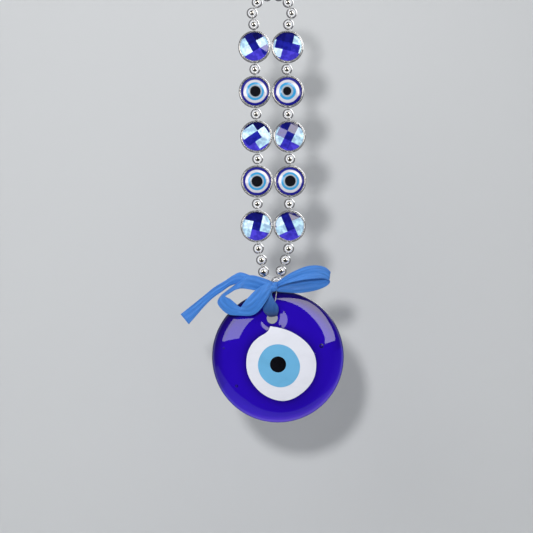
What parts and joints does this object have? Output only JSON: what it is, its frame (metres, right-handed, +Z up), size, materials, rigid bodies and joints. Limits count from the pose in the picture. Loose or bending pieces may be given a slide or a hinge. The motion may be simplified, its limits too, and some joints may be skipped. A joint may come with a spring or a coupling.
{
  "type": "evil eye ornament",
  "caption": "Hanging evil eye ornament: a cobalt glass eye on a ribbon bow under a double string of plated beads and bezel-set crystals and eyes.",
  "frame": {"origin": "the point inside the top of the hanging loop that rests on the nail", "axes": "+Z up along the hanging string, -Y the front of the eye, +X to the right as seen from the front"},
  "size_m": [0.086, 0.0127, 0.2284],
  "materials": {
    "silver_bead": "mirror-bright silver plating",
    "silver_bezel": "bright silver plating, darker in the groove",
    "blue_crystal": "checkerboard-cut acrylic crystal, foiled, high gloss",
    "eye_resin": "domed clear resin over blue, white and light blue rings and a black pupil",
    "cobalt_glass": "thick cobalt glass, fire-polished, a few small bubbles",
    "white_glass": "opaque white glass, glossy",
    "light_blue_glass": "opaque light blue glass with faint swirls, glossy",
    "black_glass": "opaque black glass, glossy",
    "nylon_cord": "clear nylon line",
    "satin_ribbon": "blue satin ribbon with a fine lengthwise weave"
  },
  "bodies": {
    "hanging_loop": {"loop_bead_left_1": "silver_bead", "loop_bead_left_2": "silver_bead", "loop_bead_left_3": "silver_bead", "loop_bead_left_4": "silver_bead", "loop_bead_right_1": "silver_bead", "loop_bead_right_2": "silver_bead", "loop_bead_right_3": "silver_bead", "loop_bead_right_4": "silver_bead", "cord_loop": "nylon_cord"},
    "left_row_1": {"cord_left_1": "nylon_cord", "spacer_bead_left_1": "silver_bead"},
    "left_bezel_1": {"bezel_ring_left_1": "silver_bezel", "crystal_left_1": "blue_crystal"},
    "left_row_2": {"cord_left_2": "nylon_cord", "spacer_bead_left_2": "silver_bead"},
    "left_bezel_2": {"bezel_ring_left_2": "silver_bezel", "eye_cabochon_left_2": "eye_resin"},
    "left_row_3": {"cord_left_3": "nylon_cord", "spacer_bead_left_3": "silver_bead"},
    "left_bezel_3": {"bezel_ring_left_3": "silver_bezel", "crystal_left_3": "blue_crystal"},
    "left_row_4": {"cord_left_4": "nylon_cord", "spacer_bead_left_4": "silver_bead"},
    "left_bezel_4": {"bezel_ring_left_4": "silver_bezel", "eye_cabochon_left_4": "eye_resin"},
    "left_row_5": {"cord_left_5": "nylon_cord", "lower_bead_left_1": "silver_bead", "lower_bead_left_2": "silver_bead", "lower_bead_left_3": "silver_bead", "collector_bead": "silver_bead"},
    "left_bezel_5": {"bezel_ring_left_5": "silver_bezel", "crystal_left_5": "blue_crystal"},
    "right_row_1": {"cord_right_1": "nylon_cord", "spacer_bead_right_1": "silver_bead"},
    "right_bezel_1": {"bezel_ring_right_1": "silver_bezel", "crystal_right_1": "blue_crystal"},
    "right_row_2": {"cord_right_2": "nylon_cord", "spacer_bead_right_2": "silver_bead"},
    "right_bezel_2": {"bezel_ring_right_2": "silver_bezel", "eye_cabochon_right_2": "eye_resin"},
    "right_row_3": {"cord_right_3": "nylon_cord", "spacer_bead_right_3": "silver_bead"},
    "right_bezel_3": {"bezel_ring_right_3": "silver_bezel", "crystal_right_3": "blue_crystal"},
    "right_row_4": {"cord_right_4": "nylon_cord", "spacer_bead_right_4": "silver_bead"},
    "right_bezel_4": {"bezel_ring_right_4": "silver_bezel", "eye_cabochon_right_4": "eye_resin"},
    "right_row_5": {"cord_right_5": "nylon_cord", "lower_bead_right_1": "silver_bead", "lower_bead_right_2": "silver_bead", "lower_bead_right_3": "silver_bead"},
    "right_bezel_5": {"bezel_ring_right_5": "silver_bezel", "crystal_right_5": "blue_crystal"},
    "bow": {"ribbon_bow": "satin_ribbon", "cord_pendant": "nylon_cord"},
    "glass_eye": {"glass_disc": "cobalt_glass", "eye_white": "white_glass", "eye_iris": "light_blue_glass", "eye_pupil": "black_glass"}
  },
  "joints": [
    {"name": "left_fold_1", "type": "hinge", "parent": "hanging_loop", "child": "left_row_1", "pos_m": [-0.01018, 0, -0.01228], "axis": [1, 0, 0], "range_deg": [-35, 35]},
    {"name": "right_fold_1", "type": "hinge", "parent": "hanging_loop", "child": "right_row_1", "pos_m": [0.00817, 0, -0.01228], "axis": [1, 0, 0], "range_deg": [-35, 35]},
    {"name": "left_fold_2", "type": "hinge", "parent": "left_row_1", "child": "left_row_2", "pos_m": [-0.00962, 0, -0.03598], "axis": [1, 0, 0], "range_deg": [-35, 35]},
    {"name": "right_fold_2", "type": "hinge", "parent": "right_row_1", "child": "right_row_2", "pos_m": [0.00732, 0, -0.03598], "axis": [1, 0, 0], "range_deg": [-35, 35]},
    {"name": "left_fold_3", "type": "hinge", "parent": "left_row_2", "child": "left_row_3", "pos_m": [-0.00898, 0, -0.05968], "axis": [1, 0, 0], "range_deg": [-35, 35]},
    {"name": "right_fold_3", "type": "hinge", "parent": "right_row_2", "child": "right_row_3", "pos_m": [0.00797, 0, -0.05968], "axis": [1, 0, 0], "range_deg": [-35, 35]},
    {"name": "left_fold_4", "type": "hinge", "parent": "left_row_3", "child": "left_row_4", "pos_m": [-0.00808, 0, -0.08338], "axis": [1, 0, 0], "range_deg": [-35, 35]},
    {"name": "right_fold_4", "type": "hinge", "parent": "right_row_3", "child": "right_row_4", "pos_m": [0.00887, 0, -0.08338], "axis": [1, 0, 0], "range_deg": [-35, 35]},
    {"name": "left_fold_5", "type": "hinge", "parent": "left_row_4", "child": "left_row_5", "pos_m": [-0.00827, 0, -0.10708], "axis": [1, 0, 0], "range_deg": [-35, 35]},
    {"name": "right_fold_5", "type": "hinge", "parent": "right_row_4", "child": "right_row_5", "pos_m": [0.00868, 0, -0.10708], "axis": [1, 0, 0], "range_deg": [-35, 35]},
    {"name": "left_bezel_spin_1", "type": "hinge", "parent": "left_row_1", "child": "left_bezel_1", "pos_m": [-0.0098, 0, -0.02413], "axis": [-0.0232, 0, 0.9997], "continuous": true},
    {"name": "right_bezel_spin_1", "type": "hinge", "parent": "right_row_1", "child": "right_bezel_1", "pos_m": [0.00765, 0, -0.02413], "axis": [0.0358, 0, 0.9994], "continuous": true},
    {"name": "left_bezel_spin_2", "type": "hinge", "parent": "left_row_2", "child": "left_bezel_2", "pos_m": [-0.00955, 0, -0.04783], "axis": [-0.0283, 0, 0.9996], "continuous": true},
    {"name": "right_bezel_spin_2", "type": "hinge", "parent": "right_row_2", "child": "right_bezel_2", "pos_m": [0.0079, 0, -0.04783], "axis": [-0.0284, 0, 0.9996], "continuous": true},
    {"name": "left_bezel_spin_3", "type": "hinge", "parent": "left_row_3", "child": "left_bezel_3", "pos_m": [-0.00877, 0, -0.07153], "axis": [-0.0379, 0, 0.9993], "continuous": true},
    {"name": "right_bezel_spin_3", "type": "hinge", "parent": "right_row_3", "child": "right_bezel_3", "pos_m": [0.00868, 0, -0.07153], "axis": [-0.0388, 0, 0.9992], "continuous": true},
    {"name": "left_bezel_spin_4", "type": "hinge", "parent": "left_row_4", "child": "left_bezel_4", "pos_m": [-0.00843, 0, -0.09523], "axis": [0.0091, 0, 1], "continuous": true},
    {"name": "right_bezel_spin_4", "type": "hinge", "parent": "right_row_4", "child": "right_bezel_4", "pos_m": [0.00903, 0, -0.09523], "axis": [0.0091, 0, 1], "continuous": true},
    {"name": "left_bezel_spin_5", "type": "hinge", "parent": "left_row_5", "child": "left_bezel_5", "pos_m": [-0.00863, 0, -0.11893], "axis": [-0.0261, 0, 0.9997], "continuous": true},
    {"name": "right_bezel_spin_5", "type": "hinge", "parent": "right_row_5", "child": "right_bezel_5", "pos_m": [0.00882, 0, -0.11893], "axis": [0.0181, 0, 0.9998], "continuous": true},
    {"name": "bow_tilt", "type": "hinge", "parent": "left_row_5", "child": "bow", "pos_m": [0.00191, 0, -0.14838], "axis": [1, 0, 0], "range_deg": [-20, 20]},
    {"name": "eye_swing", "type": "hinge", "parent": "bow", "child": "glass_eye", "pos_m": [-0.00039, 0, -0.16758], "axis": [0, 1, 0], "range_deg": [-11.5, 28.5]}
  ],
  "couplings": [
    {"joint": "right_fold_1", "follows": "left_fold_1", "ratio": 1},
    {"joint": "right_fold_2", "follows": "left_fold_2", "ratio": 1},
    {"joint": "right_fold_3", "follows": "left_fold_3", "ratio": 1},
    {"joint": "right_fold_4", "follows": "left_fold_4", "ratio": 1},
    {"joint": "right_fold_5", "follows": "left_fold_5", "ratio": 1}
  ]
}
